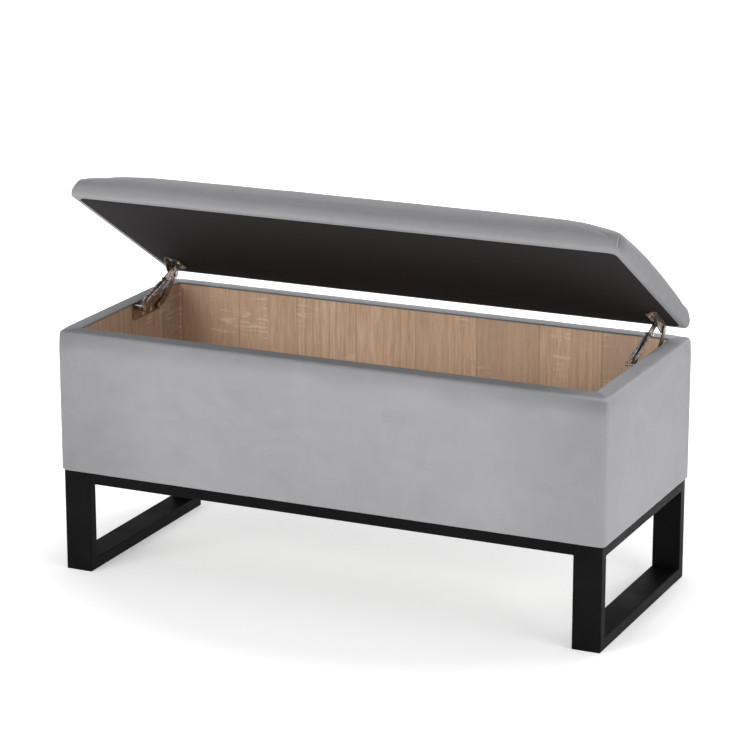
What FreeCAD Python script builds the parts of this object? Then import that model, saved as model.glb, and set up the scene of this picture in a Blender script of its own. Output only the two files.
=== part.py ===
import FreeCAD, Part
import math
import os
import re

import Sketcher

# Upholstered storage bench on a steel base, shown with its lid held open.
# Frame: +X to the right, +Y to the rear, +Z up. The origin is on the floor, under the middle of
# the storage box. All sizes are in millimetres and all angles in degrees.

Vector = FreeCAD.Vector
Rotation = FreeCAD.Rotation

SIZES = {
    # storage box
    "bench_width": 1000,
    "bench_depth": 415,
    "rim_height": 430,
    "board": 16,
    "padding": 12,
    "velvet": 2,
    "rim_pad": 2,
    # steel base
    "base_height": 180,
    "base_inset": 5,
    "tube_wide": 50,
    "tube_thin": 20,
    "tube_wall": 1.5,
    "tube_corner": 2,
    "mitre_over": 1,
    # lid
    "lid_side": 44,
    "lid_crown": 24,
    "lid_board_thick": 12,
    "lid_board_inset": 4,
    "lid_board_corner": 12,
    "hem": 24,
    "dust_inset": 15,
    "dust_cover_thick": 1,
    "lid_gap": 2,
    "lid_open": 31,
    # hinge pivots, from the rim's top and the bench's middle, and along the lid from its rear edge
    "arm_root_y": 22,
    "arm_root_drop": 11,
    "link_root_y": 91.7,
    "link_root_drop": 23,
    "arm_lid_along": 62,
    "arm_lid_drop": 11.5,
    "link_lid_along": 40,
    "link_lid_drop": 14.5,
    "arm_swing": 21.2,
    # hinge plates, arms and pins; each layer is measured inwards from the box's inner wall
    "plate_thick": 2,
    "plate_length": 100,
    "plate_high": 30,
    "plate_front_y": 4,
    "plate_drop": 2,
    "plate_corner": 5,
    "link_layer": 2.5,
    "link_thick": 2,
    "flange_layer": 5,
    "flange_thick": 2,
    "arm_layer": 12,
    "arm_thick": 2,
    "arm_half": 6.5,
    "link_half": 6,
    "link_bulge": 8,
    "pin_radius": 3,
    "running_gap": 0.05,
    "open_pivot_radius": 4.4,
    "spacer_radius": 4.5,
    "rivet_head": 4.5,
    "rivet_head_thick": 1.4,
    "rear_pin_play": 0.5,
    "rear_pin_cap": 1.5,
    "rear_pin_cap_rise": 1.2,
    "stud_radius": 2,
    "stud_over": 2,
    "cap_thick": 1,
    "cap_rise": 1,
    "stud_back": 10,
    "stud_rise": 6,
    "spring_reach": 90,
    "spring_radius": 3,
    "spring_bore": 1.8,
    "spring_wire": 0.6,
    "spring_hook": 2.8,
    "spring_leg": 22,
    "spring_plug": 1,
    "outer_spring": 8.6,
    "inner_spring": 17.4,
    "bracket_front": 92,
    "bracket_rear": 33,
    "bracket_wide": 24,
    # screws
    "screw_radius": 2,
    "screw_head": 4,
    "pan_head_thick": 1.5,
    "wall_screw_length": 16,
    "wall_screw_front": 36,
    "wall_screw_rear": 64,
    "wall_screw_high": 7,
    "wall_screw_low": 23,
    "bracket_screw_length": 13,
    "carcass_screw_radius": 2.5,
    "carcass_screw_head": 4.5,
    "carcass_screw_length": 50,
    "side_wall_screw_y": 90,
    "long_wall_screw_x": 320,
    "frame_screw_radius": 2.5,
    "frame_screw_head": 5.5,
    "frame_screw_head_thick": 3,
    "frame_screw_length": 34,
    "loop_screw_inwards": 10,
    "loop_screw_pitch": 140,
    "rail_screw_inwards": 38,
    "rail_screw_x": 220,
}

doc = FreeCAD.newDocument("StorageBench")
sheet = doc.addObject("Spreadsheet::Sheet", "Sizes")
for row, (alias, value) in enumerate(SIZES.items(), start=1):
    sheet.set(f"A{row}", alias)
    sheet.set(f"B{row}", str(value))
    sheet.setAlias(f"B{row}", alias)
doc.recompute()

SUB_PARTS = []
ALIASES = re.compile(r"\b(" + "|".join(sorted(SIZES, key=len, reverse=True)) + r")\b")


# ---------------------------------------------------------------- helpers


def size(alias):
    """A driving dimension, read from the sheet."""
    return float(sheet.get(alias))


def bind(obj, path, expression):
    """Bind a property to an expression in the sheet's own words."""
    obj.setExpression(path, ALIASES.sub(r"Sizes.\1", str(expression)))


def place(obj, x="0", y="0", z="0", rotation=None):
    """Give an object its rotation, and bind its place to the sheet."""
    if rotation is not None:
        obj.Placement = FreeCAD.Placement(Vector(), rotation)
    bind(obj, "Placement.Base.x", x)
    bind(obj, "Placement.Base.y", y)
    bind(obj, "Placement.Base.z", z)
    return obj


def keep(obj, label):
    """Name a finished sub-part and put it on the list that is written out."""
    obj.Label = label
    SUB_PARTS.append(obj)
    return obj


def box(name, length, width, height, x="0", y="0", z="0"):
    obj = doc.addObject("Part::Box", name)
    bind(obj, "Length", length)
    bind(obj, "Width", width)
    bind(obj, "Height", height)
    return place(obj, x, y, z)


ALONG_X = Rotation(Vector(0, 1, 0), 90)
ALONG_Y = Rotation(Vector(1, 0, 0), -90)


def rod(name, radius, height, x="0", y="0", z="0", rotation=ALONG_X):
    """A cylinder that runs along +X unless another rotation is given."""
    obj = doc.addObject("Part::Cylinder", name)
    bind(obj, "Radius", radius)
    bind(obj, "Height", height)
    return place(obj, x, y, z, rotation)


def cone(name, radius, tip_radius, height, x, y, z, rotation):
    """A truncated cone that narrows along its rotated axis."""
    obj = doc.addObject("Part::Cone", name)
    bind(obj, "Radius1", radius)
    bind(obj, "Radius2", tip_radius)
    bind(obj, "Height", height)
    return place(obj, x, y, z, rotation)


def fuse(name, shapes):
    obj = doc.addObject("Part::MultiFuse", name)
    obj.Shapes = shapes
    obj.Refine = True
    return obj


def group(name, shapes):
    """Several separate solids that share one node."""
    obj = doc.addObject("Part::Compound", name)
    obj.Links = shapes
    return obj


def cut(name, base, tool):
    obj = doc.addObject("Part::Cut", name)
    obj.Base = base
    obj.Tool = tool
    return obj


def common(name, base, tool):
    obj = doc.addObject("Part::Common", name)
    obj.Base = base
    obj.Tool = tool
    return obj


def edges_along(shape, direction):
    """The numbers of a shape's straight edges that run along one direction."""
    return [number for number, edge in enumerate(shape.Edges, start=1)
            if isinstance(edge.Curve, Part.Line)
            and abs(edge.Curve.Direction.dot(direction)) > 0.999]


def rounded(name, base, direction, radius):
    """Round every straight edge of the base that runs along one direction."""
    doc.recompute()
    obj = doc.addObject("Part::Fillet", name)
    obj.Base = base
    obj.Edges = [(number, radius, radius) for number in edges_along(base.Shape, direction)]
    return obj


def origin_plane(body, role):
    return next(feature for feature in body.Origin.OriginFeatures if feature.Role == role)


def new_sketch(body, role, name):
    sketch = body.newObject("Sketcher::SketchObject", name)
    sketch.AttachmentSupport = [(origin_plane(body, role), "")]
    sketch.MapMode = "FlatFace"
    return sketch


def polygon(sketch, points):
    """A closed outline, each corner bound to a pair of sheet expressions (across, up)."""
    count = len(points)
    first = sketch.GeometryCount
    for index in range(count):
        angle = -2 * math.pi * index / count
        following = -2 * math.pi * (index + 1) / count
        sketch.addGeometry(Part.LineSegment(
            Vector(math.cos(angle), math.sin(angle), 0),
            Vector(math.cos(following), math.sin(following), 0)))
    for index in range(count):
        sketch.addConstraint(Sketcher.Constraint(
            "Coincident", first + index, 2, first + (index + 1) % count, 1))
    for index, (across, up) in enumerate(points):
        for kind, value in (("DistanceX", across), ("DistanceY", up)):
            number = sketch.addConstraint(Sketcher.Constraint(
                kind, -1, 1, first + index, 1, 1.0))
            bind(sketch, f"Constraints[{number}]", value)


def pad(body, sketch, length, middle=False):
    feature = body.newObject("PartDesign::Pad", body.Name + "_pad")
    feature.Profile = sketch
    feature.Midplane = middle
    bind(feature, "Length", length)
    return feature


def round_long_edges(body, base, direction, radius):
    """Round a feature's edges that run along one direction, inside its body."""
    doc.recompute()
    fillet = body.newObject("PartDesign::Fillet", body.Name + "_round")
    fillet.Base = (base, [f"Edge{number}" for number in edges_along(base.Shape, direction)])
    bind(fillet, "Radius", radius)
    return fillet


def pocket(body, sketch, name):
    """Cut right through the body, both ways from the sketch."""
    feature = body.newObject("PartDesign::Pocket", name)
    feature.Profile = sketch
    feature.Type = "ThroughAll"
    feature.Midplane = True
    return feature


# ---------------------------------------------------------------- steel base

HALF_BASE_WIDTH = "(bench_width / 2 - base_inset)"
HALF_BASE_DEPTH = "(bench_depth / 2 - base_inset)"
TUBE_BOTTOM = "(base_height - tube_thin)"
LOOP_X = f"({HALF_BASE_WIDTH} - tube_wide / 2)"
SIDES = (("left", -1), ("right", 1))


def tube(name, length, mitred):
    """A rectangular steel tube along local +Z, with its outer wide face at local +Y.

    A mitred tube is cut at 45 degrees at both ends, so its inner face is the shorter one.
    """
    body = doc.addObject("PartDesign::Body", name)
    section = new_sketch(body, "XY_Plane", name + "_section")
    for wall in ("0", "tube_wall"):
        across = f"(tube_wide / 2 - {wall})"
        up = f"(tube_thin / 2 - {wall})"
        polygon(section, [(f"-{across}", f"-{up}"), (across, f"-{up}"),
                          (across, up), (f"-{across}", up)])
    bar = pad(body, section, length)
    round_long_edges(body, bar, Vector(0, 0, 1), "tube_corner")
    if mitred:
        corners = new_sketch(body, "YZ_Plane", name + "_mitres")
        inner = "-tube_thin / 2"
        past = f"{inner} - mitre_over"
        polygon(corners, [("tube_thin / 2", "0"), (past, "0"),
                          (past, "tube_thin + mitre_over")])
        polygon(corners, [("tube_thin / 2", length), (past, length),
                          (past, f"{length} - tube_thin - mitre_over")])
        pocket(body, corners, name + "_mitre_cut")
    return body


def frame_screw_places():
    """Where the base is screwed to the bottom board: three per end tube, two per rail."""
    places = []
    for _, sign in SIDES:
        for step in (-1, 0, 1):
            places.append((f"{sign} * ({LOOP_X} - loop_screw_inwards)", f"{step} * loop_screw_pitch"))
    for sign in (-1, 1):
        for step in (-1, 1):
            places.append((f"{step} * rail_screw_x",
                           f"{sign} * ({HALF_BASE_DEPTH} - rail_screw_inwards)"))
    return places


def make_frame_screws():
    screws = []
    for number, (x, y) in enumerate(frame_screw_places()):
        name = f"frame_screw_{number}"
        shaft = rod(name + "_shaft", "frame_screw_radius", "frame_screw_length",
                    x, y, TUBE_BOTTOM, Rotation())
        head = rod(name + "_head", "frame_screw_head", "frame_screw_head_thick",
                   x, y, f"{TUBE_BOTTOM} - frame_screw_head_thick", Rotation())
        screws.append(fuse(name, [shaft, head]))
    return keep(group("frame_screws", screws), "frame_screws")


def make_loops(screws):
    """Four mitred tubes at each end of the bench."""
    for side, sign in SIDES:
        x = f"{sign} * {LOOP_X}"
        for end, way in (("front", -1), ("rear", 1)):
            turn = Rotation(Vector(0, 0, 1), 90 + way * -90)
            leg = tube(f"{side}_{end}_leg", "base_height", True)
            place(leg, x, f"{way} * ({HALF_BASE_DEPTH} - tube_thin / 2)", "0", turn)
            keep(leg, f"{side}_{end}_leg")
        floor_tube = tube(f"{side}_floor_tube", f"(2 * {HALF_BASE_DEPTH})", True)
        place(floor_tube, x, f"-{HALF_BASE_DEPTH}", "tube_thin / 2", ALONG_Y)
        keep(floor_tube, f"{side}_floor_tube")
        top = tube(f"{side}_top_blank", f"(2 * {HALF_BASE_DEPTH})", True)
        place(top, x, HALF_BASE_DEPTH, "base_height - tube_thin / 2", Rotation(Vector(1, 0, 0), 90))
        keep(cut(f"{side}_top_tube", top, screws), f"{side}_top_tube")


def make_rails(screws):
    """The front and rear rails lie flat between the end loops."""
    length = f"(2 * ({HALF_BASE_WIDTH} - tube_wide))"
    for end, way in (("front", -1), ("rear", 1)):
        rail = tube(f"{end}_rail_blank", length, False)
        rail_rotation = Rotation(Vector(0, 1, 0), 90) * Rotation(Vector(0, 0, 1), 90)
        place(rail, f"-{length} / 2", f"{way} * ({HALF_BASE_DEPTH} - tube_wide / 2)",
              "base_height - tube_thin / 2", rail_rotation)
        keep(cut(f"{end}_rail", rail, screws), f"{end}_rail")


# ---------------------------------------------------------------- storage box

SOFT = "(padding + velvet)"
BOARD_HALF_X = f"(bench_width / 2 - {SOFT})"
BOARD_HALF_Y = f"(bench_depth / 2 - {SOFT})"
INNER_X = f"({BOARD_HALF_X} - board)"
INNER_Y = f"({BOARD_HALF_Y} - board)"
BOARD_BOTTOM = "base_height"
WALL_BOTTOM = "(base_height + board)"
WALL_TOP = "(rim_height - velvet - rim_pad)"
WALL_HEIGHT = f"({WALL_TOP} - {WALL_BOTTOM})"
CORNER_SCREW_LEVELS = (0.2, 0.5, 0.8)


def countersunk_screw(name, radius, head, length, x, y, z, rotation):
    """A screw whose flat head starts at the given point and whose shaft runs along the rotation."""
    shaft = rod(name + "_shaft", radius, length, x, y, z, rotation)
    top = cone(name + "_head", head, radius, f"({head} - {radius})", x, y, z, rotation)
    return fuse(name, [shaft, top])


def make_carcass_screws():
    """Screws through the front and rear boards into the side boards, and up into all four."""
    screws = []
    end_x = f"({BOARD_HALF_X} - board / 2)"
    end_y = f"({BOARD_HALF_Y} - board / 2)"

    def add(x, y, z, rotation):
        screws.append(countersunk_screw(
            f"carcass_screw_{len(screws)}", "carcass_screw_radius", "carcass_screw_head",
            "carcass_screw_length", x, y, z, rotation))

    for _, sign in SIDES:
        for way, rotation in ((-1, ALONG_Y), (1, ALONG_Y.inverted())):
            for level in CORNER_SCREW_LEVELS:
                add(f"{sign} * {end_x}", f"{way} * {BOARD_HALF_Y}",
                    f"{WALL_BOTTOM} + {level} * {WALL_HEIGHT}", rotation)
        for step in (-1, 1):
            add(f"{sign} * {end_x}", f"{step} * side_wall_screw_y", BOARD_BOTTOM, Rotation())
    for way in (-1, 1):
        for step in (-1, 0, 1):
            add(f"{step} * long_wall_screw_x", f"{way} * {end_y}", BOARD_BOTTOM, Rotation())
    return keep(group("carcass_screws", screws), "carcass_screws")


def make_boards(frame_screws, carcass_screws, wall_screws):
    """The bottom board, with the four walls standing on it."""
    fasteners = group("box_fasteners", [frame_screws, carcass_screws, wall_screws])
    bottom = box("bottom_blank", f"2 * {BOARD_HALF_X}", f"2 * {BOARD_HALF_Y}", "board",
                 f"-{BOARD_HALF_X}", f"-{BOARD_HALF_Y}", BOARD_BOTTOM)
    keep(cut("bottom_board", bottom, fasteners), "bottom_board")
    for end, y in (("front", f"-{BOARD_HALF_Y}"), ("rear", INNER_Y)):
        wall = box(f"{end}_blank", f"2 * {BOARD_HALF_X}", "board", WALL_HEIGHT,
                   f"-{BOARD_HALF_X}", y, WALL_BOTTOM)
        keep(cut(f"{end}_board", wall, fasteners), f"{end}_board")
    for side, x in (("left", f"-{BOARD_HALF_X}"), ("right", INNER_X)):
        wall = box(f"{side}_blank", "board", f"2 * {INNER_Y}", WALL_HEIGHT,
                   x, f"-{INNER_Y}", WALL_BOTTOM)
        keep(cut(f"{side}_board", wall, fasteners), f"{side}_board")


def mitred_panel(name, length, profile, reach):
    """A long panel with the given (inwards, up) profile, mitred in plan at both ends.

    Local +X runs along the panel, and local +Y points into the bench from its outer face.
    """
    body = doc.addObject("PartDesign::Body", name)
    section = new_sketch(body, "YZ_Plane", name + "_section")
    polygon(section, profile)
    pad(body, section, length, middle=True)
    ends = new_sketch(body, "XY_Plane", name + "_mitres")
    for sign in ("-1", "1"):
        past = f"{reach} + mitre_over"
        polygon(ends, [(f"{sign} * {length} / 2", "0"),
                       (f"{sign} * {length} / 2", past),
                       (f"{sign} * ({length} / 2 - ({past}))", past)])
    pocket(body, ends, name + "_mitre_cut")
    return body


def around_the_box(make_panel, inset):
    """Place one panel on each side of the box; make_panel takes a name and a length."""
    for label, length, half, turn, axis in (
            ("front", "bench_width", "bench_depth / 2", 0, "y"),
            ("rear", "bench_width", "bench_depth / 2", 180, "y"),
            ("left", "bench_depth", "bench_width / 2", -90, "x"),
            ("right", "bench_depth", "bench_width / 2", 90, "x")):
        sign = "-1" if label in ("front", "left") else "1"
        offset = f"{sign} * ({half} - {inset})"
        panel = make_panel(label, f"({length} - 2 * {inset})")
        x, y = (offset, "0") if axis == "x" else ("0", offset)
        place(panel, x, y, "0", Rotation(Vector(0, 0, 1), turn))


def make_padding():
    """Foam on the outside of each wall, with a thin strip folded over the wall's top edge."""
    reach = "(padding + board)"
    low = "(base_height + velvet)"
    high = "(rim_height - velvet)"

    def panel(side, length):
        profile = [("0", low), ("padding", low), ("padding", WALL_TOP), (reach, WALL_TOP),
                   (reach, high), ("0", high)]
        return keep(mitred_panel(f"{side}_padding", length, profile, reach), f"{side}_padding")

    around_the_box(panel, "velvet")


def make_covers():
    """The velvet: under the padding, up the outside and over the rim to its inner edge."""
    reach = f"({SOFT} + board)"
    low = "(base_height + velvet)"
    high = "(rim_height - velvet)"

    def panel(side, length):
        profile = [("0", "base_height"), (SOFT, "base_height"), (SOFT, low), ("velvet", low),
                   ("velvet", high), (reach, high), (reach, "rim_height"), ("0", "rim_height")]
        return keep(mitred_panel(f"{side}_cover", length, profile, reach), f"{side}_cover")

    around_the_box(panel, "0")


# ---------------------------------------------------------------- hinge geometry


def closed_reach(root_y, root_drop, along, drop):
    """Length and rise angle of a hinge arm with the lid closed."""
    forward = size("bench_depth") / 2 - size(along) - size(root_y)
    rise = size("lid_gap") - size(drop) + size(root_drop)
    return math.hypot(forward, rise), math.degrees(math.atan2(rise, forward))


def lid_point(rear_y, rear_z, along, drop):
    """A point of the open lid, in the YZ plane, from its place along and below the lid."""
    tilt = math.radians(size("lid_open"))
    y = rear_y - along * math.cos(tilt) - drop * math.sin(tilt)
    z = rear_z + along * math.sin(tilt) - drop * math.cos(tilt)
    return y, z


ARM_LENGTH, ARM_CLOSED_ANGLE = closed_reach(
    "arm_root_y", "arm_root_drop", "arm_lid_along", "arm_lid_drop")
LINK_LENGTH, LINK_CLOSED_ANGLE = closed_reach(
    "link_root_y", "link_root_drop", "link_lid_along", "link_lid_drop")
ARM_ANGLE = ARM_CLOSED_ANGLE + size("arm_swing")

ARM_ROOT_Z = size("rim_height") - size("arm_root_drop")
LINK_ROOT_Z = size("rim_height") - size("link_root_drop")
ARM_TIP_Y = size("arm_root_y") + ARM_LENGTH * math.cos(math.radians(ARM_ANGLE))
ARM_TIP_Z = ARM_ROOT_Z + ARM_LENGTH * math.sin(math.radians(ARM_ANGLE))
PIVOT_BACK, PIVOT_UP = lid_point(0, 0, size("arm_lid_along"), size("arm_lid_drop"))
LID_REAR_Y = ARM_TIP_Y - PIVOT_BACK
LID_REAR_Z = ARM_TIP_Z - PIVOT_UP

LINK_TIP_Y, LINK_TIP_Z = lid_point(
    LID_REAR_Y, LID_REAR_Z, size("link_lid_along"), size("link_lid_drop"))
LINK_ANGLE = math.degrees(math.atan2(LINK_TIP_Z - LINK_ROOT_Z, LINK_TIP_Y - size("link_root_y")))

ARM_PLACE = FreeCAD.Placement(Vector(0, size("arm_root_y"), ARM_ROOT_Z),
                              Rotation(Vector(1, 0, 0), ARM_ANGLE))
LINK_PLACE = FreeCAD.Placement(Vector(0, size("link_root_y"), LINK_ROOT_Z),
                               Rotation(Vector(1, 0, 0), LINK_ANGLE))
LID_PLACE = FreeCAD.Placement(Vector(0, LID_REAR_Y, LID_REAR_Z),
                              Rotation(Vector(1, 0, 0), -size("lid_open")))


def report_motion():
    """Print the pivots and angles that the joints need, and how true the linkage closes."""
    open_link = math.hypot(LINK_TIP_Y - size("link_root_y"), LINK_TIP_Z - LINK_ROOT_Z)
    print("arm length", ARM_LENGTH, "closed angle", ARM_CLOSED_ANGLE, "open angle", ARM_ANGLE)
    print("link length closed", LINK_LENGTH, "open", open_link,
          "closed angle", LINK_CLOSED_ANGLE, "open angle", LINK_ANGLE)
    print("arm root", size("arm_root_y"), ARM_ROOT_Z, "arm tip", ARM_TIP_Y, ARM_TIP_Z)
    print("link root", size("link_root_y"), LINK_ROOT_Z, "link tip", LINK_TIP_Y, LINK_TIP_Z)
    print("lid rear edge", LID_REAR_Y, LID_REAR_Z)


def inwards(sign, near, far):
    """The lower X of a layer that lies between two distances from one inner side wall."""
    if sign < 0:
        return f"-{INNER_X} + {near}"
    return f"{INNER_X} - ({far})"


# ---------------------------------------------------------------- hinges


def stepped_pin(name, sign, steps, y, z):
    """A pin across the hinge layers: each step is (near, far, radius)."""
    pieces = []
    for number, (near, far, radius) in enumerate(steps):
        pieces.append(rod(f"{name}_{number}", radius, f"{far} - ({near})",
                          inwards(sign, near, far), y, z))
    return fuse(name, pieces)


def wall_screw_spots():
    """Each spot is (from the plate's front end, below its top edge)."""
    return [(along, down) for along in ("wall_screw_front", "wall_screw_rear")
            for down in ("wall_screw_high", "wall_screw_low")]


def make_wall_screws():
    """Flat-headed screws through both wall plates into the side boards."""
    kept = []
    for side, sign in SIDES:
        outwards = ALONG_X.inverted() if sign < 0 else ALONG_X
        x = f"{sign} * ({INNER_X} - plate_thick)"
        screws = [countersunk_screw(
            f"{side}_wall_screw_{number}", "screw_radius", "screw_head", "wall_screw_length",
            x, f"plate_front_y + {along}", f"rim_height - plate_drop - {down}", outwards)
            for number, (along, down) in enumerate(wall_screw_spots())]
        kept.append(keep(group(f"{side}_wall_screws", screws), f"{side}_wall_screws"))
    return group("all_wall_screws", kept)


def make_wall_plate(side, sign, wall_screws, pins):
    plate = box(f"{side}_plate_blank", "plate_thick", "plate_length", "plate_high",
                inwards(sign, "0", "plate_thick"), "plate_front_y",
                "rim_height - plate_drop - plate_high")
    corners = rounded(f"{side}_plate_rounded", plate, Vector(1, 0, 0), size("plate_corner"))
    tools = group(f"{side}_plate_fasteners", [wall_screws] + pins)
    keep(cut(f"{side}_wall_plate", corners, tools), f"{side}_wall_plate")


def make_root_pins(side, sign):
    """The two lower pivots and the spring stud, all riveted to the wall plate."""
    arm_z = "rim_height - arm_root_drop"
    link_z = "rim_height - link_root_drop"
    arm_far = "arm_layer + arm_thick"
    link_far = "link_layer + link_thick"
    arm_pivot = keep(stepped_pin(f"{side}_front_arm_pivot", sign, [
        ("0", arm_far, "pin_radius"), ("plate_thick", "arm_layer", "spacer_radius"),
        (arm_far, f"{arm_far} + rivet_head_thick", "rivet_head")],
        "arm_root_y", arm_z), f"{side}_front_arm_pivot")
    link_pivot = keep(stepped_pin(f"{side}_rear_arm_pivot", sign, [
        ("0", link_far, "pin_radius"), ("plate_thick", "link_layer", "spacer_radius"),
        (link_far, f"{link_far} + rivet_head_thick", "rivet_head")],
        "link_root_y", link_z), f"{side}_rear_arm_pivot")
    stud = keep(stepped_pin(f"{side}_spring_stud", sign, [
        ("0", "inner_spring + stud_over", "stud_radius"),
        ("inner_spring + stud_over", "inner_spring + stud_over + cap_thick",
         "stud_radius + cap_rise")],
        "arm_root_y - stud_back", f"{arm_z} + stud_rise"), f"{side}_spring_stud")
    return [arm_pivot, link_pivot, stud]


def make_front_arm(side, sign):
    """A flat bar between its root pivot, at local 0, and its lid pivot along local +Y."""
    x = inwards(sign, "arm_layer", "arm_layer + arm_thick")
    bore = "pin_radius + running_gap"
    bar = box(f"{side}_arm_bar", "arm_thick", ARM_LENGTH, "2 * arm_half", x, "0", "-arm_half")
    ends = [rod(f"{side}_arm_end_{number}", "arm_half", "arm_thick", x, y, "0")
            for number, y in enumerate(("0", ARM_LENGTH))]
    blank = fuse(f"{side}_arm_blank", [bar] + ends)
    pin = stepped_pin(f"{side}_spring_pin_local", sign, [
        ("outer_spring - stud_over", "inner_spring + stud_over", "stud_radius"),
        ("outer_spring - stud_over - cap_thick", "outer_spring - stud_over",
         "stud_radius + cap_rise"),
        ("inner_spring + stud_over", "inner_spring + stud_over + cap_thick",
         "stud_radius + cap_rise")], "spring_reach", "0")
    holes = [rod(f"{side}_arm_bore_{number}", bore, "arm_thick", x, y, "0")
             for number, y in enumerate(("0", ARM_LENGTH))]
    arm = cut(f"{side}_front_arm", blank, group(f"{side}_arm_holes", holes + [pin]))
    arm.Placement = ARM_PLACE
    keep(arm, f"{side}_front_arm")
    placed_pin = group(f"{side}_spring_pin", [pin])
    placed_pin.Placement = ARM_PLACE
    keep(placed_pin, f"{side}_spring_pin")


def make_rear_arm(side, sign):
    """A curved bar that bulges down and to the rear between its two pivots."""
    x = inwards(sign, "link_layer", "link_layer + link_thick")
    half = LINK_LENGTH / 2
    radius = half ** 2 / (2 * size("link_bulge")) + size("link_bulge") / 2
    half_turn = math.degrees(math.asin(half / radius))
    centre_z = radius - size("link_bulge")
    sector_turn = Rotation(Vector(1, 0, 0), -half_turn) * ALONG_X
    sectors = []
    for part, edge in (("outer", "+ link_half"), ("inner", "- link_half")):
        sector = rod(f"{side}_link_{part}", f"{radius} {edge}", "link_thick",
                     x, half, centre_z, sector_turn)
        sector.Angle = 2 * half_turn
        sectors.append(sector)
    band = cut(f"{side}_link_band", sectors[0], sectors[1])
    ends = [rod(f"{side}_link_end_{number}", "link_half", "link_thick", x, y, "0")
            for number, y in enumerate(("0", LINK_LENGTH))]
    blank = fuse(f"{side}_link_blank", [band] + ends)
    root_bore = rod(f"{side}_link_bore", "pin_radius + running_gap", "link_thick", x)
    neck = "flange_layer + flange_thick + rear_pin_play"
    pin = stepped_pin(f"{side}_rear_pin_local", sign, [
        ("link_layer", neck, "pin_radius"),
        (neck, f"{neck} + rear_pin_cap", "open_pivot_radius + rear_pin_cap_rise")],
        LINK_LENGTH, "0")
    link = cut(f"{side}_rear_arm", blank, group(f"{side}_link_holes", [root_bore, pin]))
    link.Placement = LINK_PLACE
    keep(link, f"{side}_rear_arm")
    placed_pin = group(f"{side}_rear_lid_pin", [pin])
    placed_pin.Placement = LINK_PLACE
    keep(placed_pin, f"{side}_rear_lid_pin")


def make_springs(side, sign):
    """Two tension springs beside the front arm, each a sleeve with a wire eye at both ends."""
    arm_z = ARM_ROOT_Z
    stud_y = size("arm_root_y") - size("stud_back")
    stud_z = arm_z + size("stud_rise")
    reach = size("spring_reach")
    turn = math.radians(ARM_ANGLE)
    pin_y = size("arm_root_y") + reach * math.cos(turn)
    pin_z = arm_z + reach * math.sin(turn)
    span = math.hypot(pin_y - stud_y, pin_z - stud_z)
    slope = math.degrees(math.atan2(pin_z - stud_z, pin_y - stud_y))
    coil_end = f"{span} - spring_leg / 2"
    springs = []
    for name, layer in (("outer", "outer_spring"), ("inner", "inner_spring")):
        x = inwards(sign, layer, layer)
        label = f"{side}_{name}_spring"
        sleeve = rod(label + "_sleeve", "spring_radius", f"{coil_end} - spring_leg",
                     x, "spring_leg", "0", ALONG_Y)
        bore = rod(label + "_bore", "spring_bore", f"{coil_end} - spring_leg",
                   x, "spring_leg", "0", ALONG_Y)
        ends = []
        for end, start, stop, eye in (
                ("low", "spring_hook", "spring_leg + spring_plug", "0"),
                ("high", f"{coil_end} - spring_plug", f"{span} - spring_hook", span)):
            ends.append(rod(f"{label}_{end}_leg", "spring_wire", f"{stop} - ({start})",
                            x, start, "0", ALONG_Y))
            ring = doc.addObject("Part::Torus", f"{label}_{end}_eye")
            bind(ring, "Radius1", "spring_hook")
            bind(ring, "Radius2", "spring_wire")
            place(ring, x, eye, "0", ALONG_X)
            ends.append(ring)
            plug = rod(f"{label}_{end}_plug", "spring_radius", "spring_plug", x,
                       "spring_leg" if end == "low" else f"{coil_end} - spring_plug", "0", ALONG_Y)
            ends.append(plug)
        springs.append(fuse(label, [cut(label + "_coil", sleeve, bore)] + ends))
    pair = group(f"{side}_springs", springs)
    pair.Placement = FreeCAD.Placement(Vector(0, stud_y, stud_z), Rotation(Vector(1, 0, 0), slope))
    keep(pair, f"{side}_springs")


# ---------------------------------------------------------------- lid
# Lid pieces are built flat, with local Y at 0 on the lid's rear edge and running forwards to
# minus the bench's depth, and local Z at 0 on the velvet's underside. LID_PLACE then tilts them.

LID_BOARD_BOTTOM = "velvet"


def on_the_lid(obj, label):
    obj.Placement = LID_PLACE
    return keep(obj, label)


def dome_radius(reach):
    """The radius of an arc that rises by the lid's crown over twice the reach."""
    rise = size("lid_crown")
    return (reach ** 2 + rise ** 2) / (2 * rise)


def crowned_block(name, inset, bottom):
    """A block as large as the lid less an inset, with a top that is gently domed both ways."""
    across = dome_radius(size("bench_width") / 2)
    along = dome_radius(size("bench_depth") / 2)
    left = f"-(bench_width / 2 - {inset})"
    front = f"-(bench_depth - {inset})"
    width = f"(bench_width - 2 * {inset})"
    depth = f"(bench_depth - 2 * {inset})"
    block = box(f"{name}_block", width, depth, f"lid_side + lid_crown - {bottom}",
                left, front, bottom)
    wide_dome = rod(f"{name}_wide_dome", f"{across} - {inset}", depth,
                    "0", front, f"lid_side + lid_crown - {across}", ALONG_Y)
    deep_dome = rod(f"{name}_deep_dome", f"{along} - {inset}", width,
                    left, "-bench_depth / 2", f"lid_side + lid_crown - {along}", ALONG_X)
    return common(name, common(f"{name}_half", block, wide_dome), deep_dome)


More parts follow.
